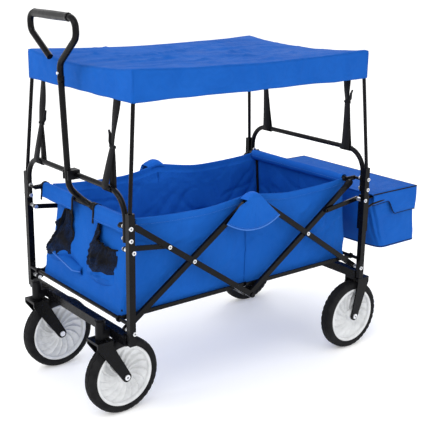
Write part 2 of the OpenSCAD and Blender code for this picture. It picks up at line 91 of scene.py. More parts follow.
def mm(x, y, z):
    """A point in the row frame from millimetres counted along Y from the frame's middle."""
    return Vector((x / 1000, MID + y / 1000, z / 1000))


def smooth(a, b, t):
    """0 below a, 1 above b, and a smooth rise between."""
    t = min(max((t - a) / (b - a), 0), 1)
    return t * t * (3 - 2 * t)


def turns(count):
    """Equal steps round one turn."""
    return [k * math.tau / count for k in range(count)]


def wrinkle(x, y, z, seed=0.0):
    """Smooth noise from -1 to 1 at a point."""
    return noise.noise(Vector((x + seed * 7.31, y - seed * 3.17, z + seed)))


def crease(x, y, z, seed=0.0):
    """A thin ridge, 0 to 1, along the lines where a smooth noise passes through zero."""
    return max(0, 1 - abs(wrinkle(x, y, z, seed)) * 6) ** 2


# --- materials
class Nodes:
    """A few short calls for building one material's node tree."""

    def __init__(self, name):
        self.mat = bpy.data.materials.new(name)
        self.mat.use_nodes = True
        self.tree = self.mat.node_tree
        self.shader = self.tree.nodes["Principled BSDF"]
        self.place = self.add("ShaderNodeTexCoord").outputs["Object"]

    def add(self, kind, **values):
        node = self.tree.nodes.new(kind)
        for key, value in values.items():
            setattr(node, key, value)
        return node

    def fill(self, node, **values):
        """Sets a node's inputs by their names, with _ for a space."""
        for key, value in values.items():
            node.inputs[key.replace("_", " ")].default_value = value

    def link(self, a, b):
        self.tree.links.new(a, b)

    def noise(self, scale, detail=4.0, roughness=0.55):
        node = self.add("ShaderNodeTexNoise")
        self.fill(node, Scale=scale, Detail=detail, Roughness=roughness)
        self.link(self.place, node.inputs["Vector"])
        return node.outputs["Fac"]

    def wave(self, scale, direction):
        node = self.add("ShaderNodeTexWave", bands_direction=direction)
        self.fill(node, Scale=scale, Distortion=0.3)
        self.link(self.place, node.inputs["Vector"])
        return node.outputs["Fac"]

    def span(self, fac, low, high, from_low=0.3, from_high=0.7):
        node = self.add("ShaderNodeMapRange")
        self.fill(node, From_Min=from_low, From_Max=from_high, To_Min=low, To_Max=high)
        self.link(fac, node.inputs["Value"])
        return node.outputs["Result"]

    def math(self, kind, a, b):
        node = self.add("ShaderNodeMath", operation=kind)
        for socket, value in zip(node.inputs, (a, b)):
            if isinstance(value, (int, float)):
                socket.default_value = value
            else:
                self.link(value, socket)
        return node.outputs["Value"]

    def mix(self, fac, a, b):
        node = self.add("ShaderNodeMix", data_type="RGBA")
        self.link(fac, node.inputs["Factor"])
        for socket, value in ((node.inputs[6], a), (node.inputs[7], b)):
            if isinstance(value, tuple):
                socket.default_value = (*value, 1)
            else:
                self.link(value, socket)
        return node.outputs[2]

    def bump(self, height, strength, distance, normal=None):
        node = self.add("ShaderNodeBump")
        self.fill(node, Strength=strength, Distance=distance)
        self.link(height, node.inputs["Height"])
        if normal is not None:
            self.link(normal, node.inputs["Normal"])
        return node.outputs["Normal"]


def coated(name, dark, light, rough, grain=900, strength=0.25, gloss=0.5):
    """Powder coat or moulded plastic: a fine orange-peel skin with slight tone and gloss variation."""
    n = Nodes(name)
    n.link(n.mix(n.span(n.noise(35), 0, 1), dark, light), n.shader.inputs["Base Color"])
    n.link(n.span(n.noise(90), rough - 0.07, rough + 0.1), n.shader.inputs["Roughness"])
    n.link(n.bump(n.noise(grain, 2), strength, 0.0002), n.shader.inputs["Normal"])
    n.fill(n.shader, Specular_IOR_Level=gloss)
    return n.mat


def cloth(name, dark, light, weave=260, rough=0.62, sheen=0.25):
    """Woven polyester: crossed threads, faint slubs, and soft creases."""
    n = Nodes(name)
    tone = n.mix(n.span(n.noise(9, 5), 0, 1), dark, light)
    threads = n.math("ADD", n.wave(weave, "X"), n.math("ADD", n.wave(weave, "Y"), n.wave(weave, "Z")))
    fleck = n.span(threads, 0.0, 1.0, 0.6, 2.4)
    deep = tuple(c * 0.86 for c in dark)
    n.link(n.mix(n.math("MULTIPLY", n.math("SUBTRACT", 1.0, fleck), 0.35), tone, deep),
           n.shader.inputs["Base Color"])
    n.link(n.span(n.noise(60), rough - 0.06, rough + 0.08), n.shader.inputs["Roughness"])
    soft_folds = n.bump(n.noise(24, 3), 0.34, 0.005)
    n.link(n.bump(threads, 0.3, 0.00025, soft_folds), n.shader.inputs["Normal"])
    n.fill(n.shader, Sheen_Weight=sheen, Sheen_Roughness=0.45, Specular_IOR_Level=0.08)
    return n.mat


def mesh_cloth(name):
    """Open-knit netting: black threads round small holes, which are painted dark blue as the shaded pouch
    behind them.
    """
    n = Nodes(name)
    cell = n.add("ShaderNodeTexVoronoi", feature="DISTANCE_TO_EDGE")
    n.fill(cell, Scale=420)
    n.link(n.place, cell.inputs["Vector"])
    thread = n.span(cell.outputs["Distance"], 0, 1, 0.05, 0.25)
    # painted shade: the holes carry a dark blue, darker and lighter at random, in place of the shaded pouch
    # seen through the net
    painted_shade_behind = n.mix(n.span(n.noise(22, 3), 0, 1, 0.38, 0.64), (0.0015, 0.003, 0.010), (0.004, 0.028, 0.11))
    n.link(n.mix(thread, (0.0012, 0.0012, 0.0018), painted_shade_behind), n.shader.inputs["Base Color"])
    n.link(n.span(n.noise(50), 0.6, 0.8), n.shader.inputs["Roughness"])
    n.link(n.bump(n.math("SUBTRACT", 1.0, thread), 0.6, 0.0008), n.shader.inputs["Normal"])
    n.fill(n.shader, Specular_IOR_Level=0.15)
    return n.mat


def metal(name, dark, light):
    """Zinc-plated steel with a brushed, slightly mottled face."""
    n = Nodes(name)
    n.link(n.mix(n.span(n.noise(180), 0, 1), dark, light), n.shader.inputs["Base Color"])
    n.link(n.span(n.noise(400), 0.22, 0.42), n.shader.inputs["Roughness"])
    n.link(n.bump(n.noise(1500, 2), 0.15, 0.0001), n.shader.inputs["Normal"])
    n.fill(n.shader, Metallic=0.85)
    return n.mat


steel = coated("black powder coat", (0.0015, 0.0015, 0.002), (0.004, 0.004, 0.005), 0.22, gloss=0.11)
plastic = coated("black nylon", (0.002, 0.002, 0.003), (0.006, 0.006, 0.007), 0.36, 500, 0.35, 0.11)
rubber = coated("tyre rubber", (0.005, 0.005, 0.006), (0.013, 0.013, 0.014), 0.66, 420, 0.6, 0.1)
foam = coated("grip sleeve", (0.006, 0.006, 0.007), (0.014, 0.014, 0.015), 0.36, 700, 0.4, 0.3)
hub_grey = coated("hub plastic", (0.56, 0.57, 0.58), (0.70, 0.71, 0.72), 0.42, 300, 0.2)
zinc = metal("zinc plate", (0.62, 0.63, 0.65), (0.86, 0.87, 0.89))
# painted shade: dark metal for the discs on the rivet and bolt heads, standing in for the shade in their
# hollow centres
painted_shade_metal = metal("rivet hollow shade", (0.10, 0.10, 0.11), (0.2, 0.2, 0.21))
blue = cloth("blue polyester", (0.005, 0.084, 0.39), (0.009, 0.106, 0.455), rough=0.75, sheen=0.0)
thread_blue = cloth("sewing thread", (0.04, 0.16, 0.54), (0.07, 0.21, 0.62), 700, 0.6, 0.1)
binding = cloth("black binding", (0.004, 0.004, 0.005), (0.010, 0.010, 0.012), 420, 0.7, 0.02)
webbing = cloth("black webbing", (0.005, 0.005, 0.006), (0.013, 0.013, 0.015), 180, 0.66, 0.03)
netting = mesh_cloth("black netting")


# --- mesh helpers
def new_object(name, verts, faces, material, shade=True):
    data = bpy.data.meshes.new(name)
    data.from_pydata([tuple(v) for v in verts], [], faces)
    data.validate()
    data.materials.append(material)
    if shade:
        data.polygons.foreach_set("use_smooth", [True] * len(data.polygons))
    obj = bpy.data.objects.new(name, data)
    bpy.context.scene.collection.objects.link(obj)
    return obj


class Shape:
    """Collects grids, tubes and revolved forms into one mesh."""

    def __init__(self):
        self.verts, self.faces = [], []

    def grid(self, rows, close_rows=False, close_columns=False, flip=False):
        base, n, m = len(self.verts), len(rows), len(rows[0])
        for row in rows:
            self.verts.extend(row)
        for i in range(n if close_rows else n - 1):
            for j in range(m if close_columns else m - 1):
                a, b = base + i * m + j, base + i * m + (j + 1) % m
                c, d = base + ((i + 1) % n) * m + (j + 1) % m, base + ((i + 1) % n) * m + j
                self.faces.append((d, c, b, a) if flip else (a, b, c, d))

    def cap(self, ring, flip=False):
        base = len(self.verts)
        self.verts.extend(ring)
        face = tuple(range(base, base + len(ring)))
        self.faces.append(face[::-1] if flip else face)

    def tube(self, points, radius, segments=16, caps=True):
        """A round tube along points; radius is one number or one per point, in millimetres."""
        n = len(points)
        radii = [radius] * n if isinstance(radius, (int, float)) else radius
        along = [(points[min(i + 1, n - 1)] - points[max(i - 1, 0)]).normalized() for i in range(n)]
        side = along[0].orthogonal().normalized()
        rows = []
        for point, direction, r in zip(points, along, radii):
            side = (side - direction * side.dot(direction)).normalized()
            other = direction.cross(side)
            rows.append([point + (side * math.cos(a) + other * math.sin(a)) * (r / 1000)
                         for a in turns(segments)])
        self.grid(rows, close_columns=True)
        if caps:
            self.cap(rows[0], flip=True)
            self.cap(rows[-1])

    def band(self, points, across, width, thick):
        """A flat strap along points. across is its width direction, or one for each point."""
        n = len(points)
        widths = [width] * n if isinstance(width, (int, float)) else width
        sides = [across] * n if isinstance(across, Vector) else across
        rows = []
        for i, point in enumerate(points):
            direction = (points[min(i + 1, n - 1)] - points[max(i - 1, 0)]).normalized()
            side = (sides[i] - direction * sides[i].dot(direction)).normalized()
            normal = direction.cross(side)
            w, t = side * (widths[i] / 2000), normal * (thick / 2000)
            rows.append([point - w - t, point + w - t, point + w + t, point - w + t])
        self.grid(rows, close_columns=True)
        self.cap(rows[0], flip=True)
        self.cap(rows[-1])

    def lathe(self, centre, axis, profile, segments=96, close=True):
        """Revolves (along, radius) points in millimetres about an axis through centre."""
        axis = axis.normalized()
        side = axis.orthogonal().normalized()
        other = axis.cross(side)
        rows = []
        for a in turns(segments):
            out = side * math.cos(a) + other * math.sin(a)
            rows.append([centre + axis * (p / 1000) + out * (r / 1000) for p, r in profile])
        self.grid(rows, close_rows=True, close_columns=close)

    def stitches(self, points, normal, pitch=4.5, long=2.8, wide=0.7, high=0.5):
        """Short threads lying along a line, on the side that normal points to."""
        lengths = [0.0]
        for a, b in zip(points, points[1:]):
            lengths.append(lengths[-1] + (b - a).length * 1000)
        count = int(lengths[-1] // pitch)
        normals = [normal] * len(points) if isinstance(normal, Vector) else normal
        i = 0
        for k in range(count):
            s = (k + 0.5) * pitch
            while lengths[i + 1] < s:
                i += 1
            t = (s - lengths[i]) / (lengths[i + 1] - lengths[i])
            centre = points[i].lerp(points[i + 1], t)
            up = normals[i].normalized()
            direction = (points[i + 1] - points[i]).normalized()
            side = up.cross(direction).normalized()
            base = len(self.verts)
            for end in (-1, 1):
                tip = centre + direction * (end * long / 2000)
                self.verts.extend([tip - side * (wide / 2000), tip + side * (wide / 2000)])
            for end in (-0.5, 0.5):
                tip = centre + direction * (end * long / 2000) + up * (high / 1000)
                self.verts.extend([tip - side * (wide / 3000), tip + side * (wide / 3000)])
            a, b, c, d, e, f, g, h = range(base, base + 8)
            self.faces.extend([(a, c, d, b), (e, f, h, g), (a, b, f, e),
                               (d, c, g, h), (a, e, g, c), (b, d, h, f)])

    def make(self, name, material, body, replaces=()):
        obj = new_object(name, self.verts, self.faces, material)
        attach(obj, body)
        if replaces:
            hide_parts(*replaces)
        return obj


def rounded_path(points, radii, step=8):
    """A polyline's corners turned into arcs: one radius in millimetres per inner corner."""
    out = [points[0]]
    for i in range(1, len(points) - 1):
        a, b, c = points[i - 1], points[i], points[i + 1]
        u, v = (a - b).normalized(), (c - b).normalized()
        half = u.angle(v) / 2
        reach = radii[i - 1] / 1000 / math.tan(half)
        centre = b + (u + v).normalized() * (radii[i - 1] / 1000 / math.sin(half))
        start, end = b + u * reach - centre, b + v * reach - centre
        turn = start.angle(end)
        for k in range(step + 1):
            t = k / step
            arm = start * math.sin((1 - t) * turn) + end * math.sin(t * turn)
            out.append(centre + arm / math.sin(turn))
    out.append(points[-1])
    return out


def thicken(obj, millimetres, offset=0.0):
    m = obj.modifiers.new("thickness", "SOLIDIFY")
    m.thickness = millimetres / 1000
    m.offset = offset
    m.use_even_offset = True
    return obj


def rounded(obj, millimetres):
    m = obj.modifiers.new("edges", "BEVEL")
    m.width = millimetres / 1000
    m.segments = 2
    m.limit_method = "ANGLE"
    m.angle_limit = math.radians(35)


def welded(obj, distance):
    m = obj.modifiers.new("weld", "WELD")
    m.merge_threshold = distance
    with bpy.context.temp_override(object=obj, active_object=obj, selected_objects=[obj]):
        bpy.ops.object.modifier_apply(modifier="weld")


# --- fabric
HIGH_Y = RAIL_Y - 14  # the tub's front wall at its rim, which stays where it is as the wagon folds


def folds(obj):
    """Gives a piece of fabric its own copy of its mesh."""
    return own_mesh(obj)


# --- CAD nodes that stay
FINISH = {
    "zinc": zinc, "black_steel": steel, "black_plastic": plastic, "tyre": rubber, "hub": hub_grey,
    "grip": foam, "blue_fabric": blue, "mesh": netting, "webbing": webbing,
}
SMOOTH_BELOW = math.radians(32)
PRESSED_EDGE = 0.9
slots = {p["node"]: p["material_slot"] for p in frame["record"]["subparts"]}
for name, obj in frame["nodes"].items():
    obj.data.materials.clear()
    obj.data.materials.append(FINISH[slots[name]])
    with bpy.context.temp_override(object=obj, active_object=obj, selected_objects=[obj],
                                   selected_editable_objects=[obj]):
        bpy.ops.object.shade_smooth_by_angle(angle=SMOOTH_BELOW)

for name in ("front_posts", "rear_posts", "front_base_beam", "rear_base_beam",
             "front_rising_braces", "front_falling_braces", "rear_falling_braces",
             "rear_rising_braces", "front_links", "rear_links", "left_caster_fork",
             "right_caster_fork", "rear_forks", "caster_housings", "handle_clip"):
    rounded(frame["nodes"][name], PRESSED_EDGE)

SIDE_FACE = 0.18  # metres from the middle: heads further out face sideways
HEAD_REACH = 0.014  # metres: one head's points lie within this of each other
# the profile of the dark disc on each head, which is painted shade for its hollow centre
SHADE_DISC = [(0.0, 2.6), (0.35, 2.3), (0.12, 1.5), (0.1, 0.9), (0.5, 0.5), (0.55, 0.01)]


def rivet_shade_discs(name):
    """A dark disc on the centre of every rivet or bolt head of a node that faces sideways: painted shade
    for the head's hollow centre.
    """
    points = [v.co for v in frame["nodes"][name].data.vertices]
    heads = []
    for x, y, z in points:
        if abs(x) < SIDE_FACE:
            continue
        for head in heads:
            if head[0] * x > 0 and math.hypot(head[1] - y, head[2] - z) < HEAD_REACH:
                if abs(x) > abs(head[0]) + 1e-5:
                    head[0] = x
                break
        else:
            heads.append([x, y, z])
    core = Shape()
    for face, y, z in heads:
        near = [p for p in points if p.x * face > 0 and abs(p.x - face) < 0.0004
                and math.hypot(p.y - y, p.z - z) < HEAD_REACH]
        low, high = Vector(map(min, zip(*near))), Vector(map(max, zip(*near)))
        middle = Vector((face, (low.y + high.y) / 2, (low.z + high.z) / 2))
        core.lathe(middle, Vector((math.copysign(1, face), 0, 0)), SHADE_DISC, 20, close=False)
    core.make(name + "_shade_discs", painted_shade_metal, body_of(frame["nodes"][name])[0])


for name in ("front_brace_rivets", "rear_brace_rivets", "front_frame_bolts", "rear_frame_bolts",
             "front_left_axle", "front_right_axle", "rear_axles"):
    rivet_shade_discs(name)


# --- wheels
BEAD = 76  # the tyre's inner radius
TREAD_STEPS, TREAD_WAVES, GROOVE_DEPTH, SHOULDER_DEPTH = 288, 36, 2.0, 1.4
RIM = [(-15, 69.5), (-16, 71), (-16, 75.4), (-14.5, 76.2), (14.5, 76.2), (16, 75.4), (16, 71),
       (15, 69.5), (12, 68.5), (-12, 68.5)]
BOSS = [(-18, 4.3), (-18, 13), (-16, 15.5), (-9, 17), (9, 17), (16, 15.5), (18, 13), (18, 4.3)]
BLADES, BLADE_SWIRL, BLADE_SLOPE, BLADE_RIDGE = 16, 0.5, 7.0, 2.4
DISC_IN, DISC_OUT, DISC_WIDE, DISC_RINGS = 16, 69.5, 53, 22


def wheel(tag, body):
    low, high = (Vector(c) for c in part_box(tag + "_tyre"))
    centre, radius, half = (low + high) / 2, (high.z - low.z) * 500, (high.x - low.x) * 500

    def place(x, r, angle):
        return centre + Vector((x, math.cos(angle) * r, math.sin(angle) * r)) / 1000

    tyre = Shape()
    profile = [(-half + 3, BEAD - 1), (-half + 0.6, BEAD + 3), (-half, BEAD + 9),
               (-half + 0.8, radius - 7), (-half + 3, radius - 3), (-half + 6, radius - 1.2)]
    profile += [(x, radius - 0.9 * (x / half) ** 2) for x in np.linspace(-half + 9, half - 9, 17)]
    profile += [(-x, r) for x, r in profile[5::-1]]
    rows = []
    for a in turns(TREAD_STEPS):
        row = []
        for x, r in profile:
            if r > radius - 2.5:
                groove = max(0, 1 - abs(abs(x) - 5.5 - 1.6 * math.sin(a * TREAD_WAVES)) / 1.5)
                r -= GROOVE_DEPTH * min(1, groove * 1.6)
            elif r > radius - 10:
                offset = 0 if x < 0 else math.pi
                r -= SHOULDER_DEPTH * smooth(0.15, 0.5, math.sin(a * TREAD_WAVES + offset))
            row.append(place(x, r, a))
        rows.append(row)
    tyre.grid(rows, close_rows=True, close_columns=True, flip=True)
    tyre.make(tag + "_tread", rubber, body, [tag + "_tyre"])

    hub = Shape()
    hub.lathe(centre, ALONG_X, RIM)
    hub.lathe(centre, ALONG_X, BOSS, 48)
    for side in (-1, 1):
        rows = []
        for a in turns(BLADES * 16):
            row = []
            for i in range(DISC_RINGS):
                r = DISC_IN + (DISC_OUT - DISC_IN) * i / (DISC_RINGS - 1)
                out = (r - DISC_IN) / DISC_WIDE
                swirl = a + side * BLADE_SWIRL * out ** 1.2
                phase = (swirl * BLADES / math.tau) % 1
                ridge = BLADE_RIDGE * max(0, 1 - abs(phase - 0.86) * 7) * math.sin(math.pi * (r - 15) / 55)
                slope = BLADE_SLOPE * phase * math.sin(math.pi * (r - 15.5) / 56)
                dish = 7.5 - 4.5 * math.sin(math.pi * out)
                step = 1.5 * smooth(0.48, 0.52, out) * (1 - smooth(0.66, 0.7, out))
                row.append(place(side * (dish + ridge + slope - step), r, a))
            rows.append(row)
        hub.grid(rows, close_rows=True, flip=side < 0)
    hub.make(tag + "_rim", hub_grey, body, [tag + "_hub"])


for tag in ("front_left", "front_right", "rear_left", "rear_right"):
    wheel(tag, tag + "_wheel")


# --- handle
SHAFT_LEAN = Vector((0, -0.0436, 1))
COLLAR = [(-14, 7.4), (-14, 8.3), (-1, 8.3), (0, 7.8), (0, 6.2)]
foot = mm(SHAFT_X + 45, -RAIL_Y, RAIL_Z)
knee = mm(SHAFT_X, -RAIL_Y - 47, RAIL_Z + 47)
socket = mm(SHAFT_X, -RAIL_Y - 58.4, 790)
path = rounded_path([foot, mm(SHAFT_X - 6, -RAIL_Y, RAIL_Z), knee, socket], [30, 46])
shaft = Shape()
shaft.tube(path, [7.5 + 1.8 * (1 - smooth(0, 0.030, (p - foot).length)) for p in path], 24)
shaft.lathe(socket, SHAFT_LEAN, COLLAR, 32, close=False)
shaft.make("handle_shaft", steel, "handle", ["handle_tube"])

bush = Shape()
ribs = []
for start in (-15, -11, -7, -3):
    ribs += [(start, 9.0), (start + 1, 10.4), (start + 2.4, 10.4), (start + 3.2, 9.0)]
ribs += [(0.5, 9.0), (0.5, 7.2), (-15, 7.2)]
bush.lathe(mm(SHAFT_X + 44, -RAIL_Y, RAIL_Z), ALONG_X, ribs, 32)
bush.make("handle_bushing", plastic, "handle")

low, high = (Vector(c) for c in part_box("handle_grip"))
middle, half = (low + high) / 2, (high.x - low.x) * 500
FACETS, FACET_DEPTH = 8, 0.22
profile = [(-half, 7.7), (-half, 9.2), (-half + 1.2, 10.0)]
profile += [(x, 9.7 + 0.3 * math.cos(x / half * 3)) for x in np.linspace(-half + 4, half - 4, 24)]
profile += [(half - 1.2, 10.0), (half, 9.2), (half, 7.7)]
rows = []
for a in turns(48):
    bulge = FACET_DEPTH * math.cos(a * FACETS)
    rows.append([middle + Vector((x, math.cos(a) * (r + bulge), math.sin(a) * (r + bulge))) / 1000
                 for x, r in profile])
grip = Shape()
grip.grid(rows, close_rows=True, close_columns=True, flip=True)
grip.make("grip_sleeve", foam, "handle_top", ["handle_grip"])


# --- canopy
low, high = (Vector(c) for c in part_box("canopy"))
CX, CY = high.x * 1000, (high.y - low.y) * 500
HEM_Z, TOP_Z = low.z * 1000, high.z * 1000
# Pulled folds: start and end as shares of the half sides, then height in millimetres and width.
PULLS = (
    ((-0.95, 0.95), (0.2, -0.4), 5.0, 0.09), ((0.95, 0.95), (0.55, -0.5), 5.5, 0.07),
    ((0.95, -0.95), (0.3, 0.5), 4.5, 0.08), ((-0.95, -0.95), (-0.5, 0.3), 4.5, 0.09),
    ((0.9, 0.5), (0.72, -0.8), 4.2, 0.05), ((0.4, 0.95), (0.15, 0.0), 3.8, 0.07),
)


def canopy_height(x, y):
    """The sheet's height over a point: tight at the corners, slack between them."""
    u, v = x / CX, y / CY
    along = (1 - v * v) * (5 + 4 * u * u)
    across = (1 - u * u) * (8 + 5 * v * v)
    slack = (1 - v * v) ** 0.6 * (1 - u ** 4)
    z = TOP_Z + 3 - along - across
    z += 2.4 * math.sin(8.5 * u + 1.4 * v + 0.5 * math.sin(3 * v) + 1.2) * slack
    z += 7.5 * slack * crease(x / 75 + v * 0.5, y / 420, 0, 31)
    z += 3.6 * slack * crease(x / 40 - v, y / 260, 3, 33)
    for start, end, height, wide in PULLS:
        s, e = Vector(start), Vector(end)
        d = e - s
        t = min(max((Vector((u, v)) - s).dot(d) / d.length_squared, 0), 1)
        gap = (Vector((u, v)) - s - d * t).length
        z += height * math.exp(-(gap / wide) ** 2) * math.sin(math.pi * min(t + 0.08, 1))
    return z + 1.2 * wrinkle(x / 60, y / 150, 0, 2)


def canopy_top(x, y):
    inset = min(CX - abs(x), CY - abs(y))
    return mm(x, y, canopy_height(x, y) - 2.5 * max(0, 1 - inset / 6) ** 2)


def canopy_valance(x, y, out, calm):
    """One column of the valance under an edge point; calm is 0 at a corner and 1 away from it."""
    start = canopy_top(x, y)
    low_z = HEM_Z + 2.5 * wrinkle(x / 70, y / 70, 4.0) - 1.5
    column = []
    for t in (0.0, 0.04, 0.1, 0.2, 0.32, 0.45, 0.58, 0.7, 0.8, 0.81, 0.9, 1.0):
        belly = 2.2 * math.sin(math.pi * t) + 3.0 * t * wrinkle(x / 42, y / 42, 1.0, 3)
        belly += 1.6 * wrinkle(x / 25, y / 25, t * 1.5, 5)
        belly += 1.8 * crease(x / 80, y / 80, t * 0.8, 35) * math.sin(math.pi * min(t * 1.3, 1))
        hem = 0.9 if t > 0.805 else 0
        # never further in than this, so that the folded poles stay behind it
        proud = max((belly - 2.0 * t) * calm + hem, 1.4 * t - 0.4)
        point = start.lerp(Vector((start.x, start.y, low_z / 1000)), t)
        column.append(point + out * (proud / 1000))
    return column


def off_corner(s, half):
    return smooth(0, 45, half - abs(s))


sheet = Shape()
xs, ys = np.linspace(-CX, CX, 84), np.linspace(-CY, CY, 120)
sheet.grid([[canopy_top(x, y) for x in xs] for y in ys])
for sign in (-1, 1):
    sheet.grid([canopy_valance(x, sign * CY, ALONG_Y * sign, off_corner(x, CX)) for x in xs], flip=sign > 0)
    sheet.grid([canopy_valance(sign * CX, y, ALONG_X * sign, off_corner(y, CY)) for y in ys], flip=sign < 0)
canopy = sheet.make("canopy_sheet", blue, "canopy", ["canopy"])
welded(canopy, 1e-4)
thicken(canopy, 1.0)
folds(canopy)

seams = Shape()
for sx in (-1, 1):
    for sy in (-1, 1):
        seams.tube([mm(sx * (CX + 0.2), sy * (CY + 0.2), z)
                    for z in np.linspace(HEM_Z + 2, TOP_Z - 3, 8)], 1.1, 8)
folds(seams.make("canopy_corner_seams", blue, "canopy"))


# --- straps from the canopy to the hoops
STRAP_X, KNOT_X, LOOP_X = 168, 164, 161
KNOT_Z = {"front": 652, "rear": 684}
LOOP_RADIUS, LOOP_SPREAD = 0.0085, 0.0035


def straps(end, body, loop_body, cad, cad_loop):
    """Each strap hangs to a buckle at the knot; its loop and tail go on from there round the hoop."""
    sign = -1 if end == "front" else 1
    for side in (-1, 1):
        tag = "left" if side > 0 else "right"
        top = mm(side * STRAP_X, sign * (CY - 5), HEM_Z + 18)
        knot = mm(side * KNOT_X, sign * (HOOP_Y - 9), KNOT_Z[end])
        hoop = mm(side * LOOP_X, sign * HOOP_Y, HOOP_Z)
        steps = np.linspace(0, 1, 14)
        upper = Shape()
        upper.band([top.lerp(knot, t) + ALONG_X * (0.0015 * math.sin(t * 5 + side)) for t in steps],
                   [Vector((1, 0.25 * math.sin(t * 4 + side), 0)) for t in steps],
                   [21 - 3 * smooth(0.6, 1, t) for t in steps], 2.0)
        upper.make(f"{end}_strap_{tag}", webbing, body, cad if side > 0 else ())
        buckle = Shape()
        buckle.band([knot + Vector((x, 0, z)) for x, z in ((-0.009, 0.001), (0.009, -0.001))],
                    ALONG_Y, 7, 6)
        lean = side if end == "front" else -side
        tongue = ((0.004, 0, 0), (0.012, 0.002, 0.010), (0.014, 0.003, 0.024), (0.019, 0.003, 0.034))
        buckle.band([knot + Vector((-x * lean, -y * sign, z)) for x, y, z in tongue],
                    ALONG_Y, [9, 9, 7, 4], 2.4)
        buckle.make(f"{end}_strap_buckle_{tag}", webbing, body)
        for part, turn in (("loop", 1), ("tail", -1)):
            spread = LOOP_SPREAD * turn
            path, widths = [], []
            for t in np.linspace(0, 1, 9):
                low = hoop + Vector((0, -LOOP_RADIUS * sign * turn, 0.004))
                path.append(knot.lerp(low, t) + ALONG_X * (spread * math.sin(math.pi * t * 0.55)))
                widths.append(18 + 9 * t)
            for k in range(1, 13):
                a = math.radians(20 - 220 * k / 12)
                path.append(hoop + Vector((spread, -math.cos(a) * LOOP_RADIUS * sign * turn,
                                           math.sin(a) * LOOP_RADIUS)))
                widths.append(27)
            lower = Shape()
            lower.band(path, ALONG_X, widths, 1.8)
            lower.make(f"{end}_strap_{part}_{tag}", webbing, loop_body,
                       cad_loop if side > 0 and turn > 0 else ())


straps("front", "canopy", "front_frame", ["front_straps"], ["front_strap_loops"])
straps("rear", "rear_poles", "rear_frame", ["rear_straps"], ["rear_strap_loops"])


# --- tub
TUB_X, TUB_LOW, CORNER = 188, 251, 9
LOW_Y = POST_Y - 9
REAR_HIGH_Y = RAIL_Y + 11
NEAR_TUCK, FAR_TUCK, CORNER_SPREAD = 33, 7, 3.5
BULGE_FREE, BULGE_LIMIT = 0.5, 3  # side walls bulge freely, then level off short of the floor rails


def tub_length(z):
    """From the frame's middle to the front wall at a height."""
    return LOW_Y + (HIGH_Y - LOW_Y) * (z - 266) / 236


def tub_end(z, forward):
    """From the middle to one end wall: the rear one hangs outside its rail."""
    if forward > 0:
        return LOW_Y + (REAR_HIGH_Y - LOW_Y) * smooth(300, 470, z)
    return tub_length(z)


def rim(x, share):
    """The rim's height at a share of the tub's length: lifted over the upper centre pivots."""
    if abs(x) > TUB_X - 12:
        y = share * HIGH_Y
        lift = 18 * max(0, 1 - abs(y) / 130) ** 1.6
        return 477 + 11 * abs(share) ** 4 + lift - 3 * smooth(40, 160, y)
    return 489 + (2.5 if share > 0 else 0) - 2 * (1 - (x / TUB_X) ** 2)


def tub_point(s, t):
    """The wall at s round the tub (0 to 4, one per side) and t up it (0 floor, 1 rim)."""
    side, u = int(s) % 4, (s % 1) * 2 - 1
    x = (u * TUB_X, TUB_X, -u * TUB_X, -TUB_X)[side]
    share = (-1, u, 1, -u)[side]
    z = TUB_LOW + t * (rim(x, share) - TUB_LOW)
    reach = tub_end(z, share)
    y = share * reach
    dx, dy = TUB_X - abs(x), reach - abs(y)
    near = max(0, 1 - (dx + dy) / CORNER)
    x -= math.copysign(CORNER * 0.3 * near * near, x)
    y -= math.copysign(CORNER * 0.3 * near * near, y)
    calm = math.sin(math.pi * t) * smooth(0, 30, dx + dy)
    tuck = smooth(120, 0, dx + dy) * smooth(488, 440, z) * smooth(285, 372, z)
    spread = smooth(60, 0, dx + dy) * smooth(330, 276, z) * smooth(264, 272, z)
    depth = NEAR_TUCK if x < 0 and y < 0 else FAR_TUCK
    x -= math.copysign(depth * tuck - CORNER_SPREAD * spread, x)
    if side % 2 == 0:
        bow = 3.0 * wrinkle(x / 45, z / 90, share, 1) + 1.4 * wrinkle(x / 16, z / 60, share, 2)
        bow += 4.4 * crease(x / 90 + z / 70, z / 150, share, 14)
        bow += 3.0 * crease(x / 60 - z / 90, z / 90, share, 15)
        y += share * calm * (bow + (5 if share > 0 else 1.0))
    else:
        bulge = 4.6 * wrinkle(y / 60, z / 110, x / 100, 1) + 2.2 * wrinkle(y / 22, z / 70, x / 100, 4)
        bulge -= 5.5 * crease(y / 150 + z / 130, y / 260 - z / 90, x / 100, 6)
        bulge -= 4.5 * crease(y / 90 - z / 80, z / 200, x / 100, 13)
        bulge *= calm
        for slant, place in ((0.55, 40), (0.9, 75), (1.6, 130)):
            line = abs(y) - place - (492 - z) * slant * 0.4
            bulge += (2.2 * math.exp(-(line / 7) ** 2) * smooth(0, 60, 492 - z)
                      * smooth(20, 120, z - 262))
        if bulge > BULGE_FREE:
            bulge = BULGE_FREE + BULGE_LIMIT * (1 - math.exp((BULGE_FREE - bulge) / BULGE_LIMIT))
        x += math.copysign(bulge, x)
    return x, y, z


def pivot_swell(t, y):
    """How far the side wall stands out over the upper centre pivots."""
    return 7 * smooth(0.7, 1, t) * math.exp(-(y / 55) ** 2)


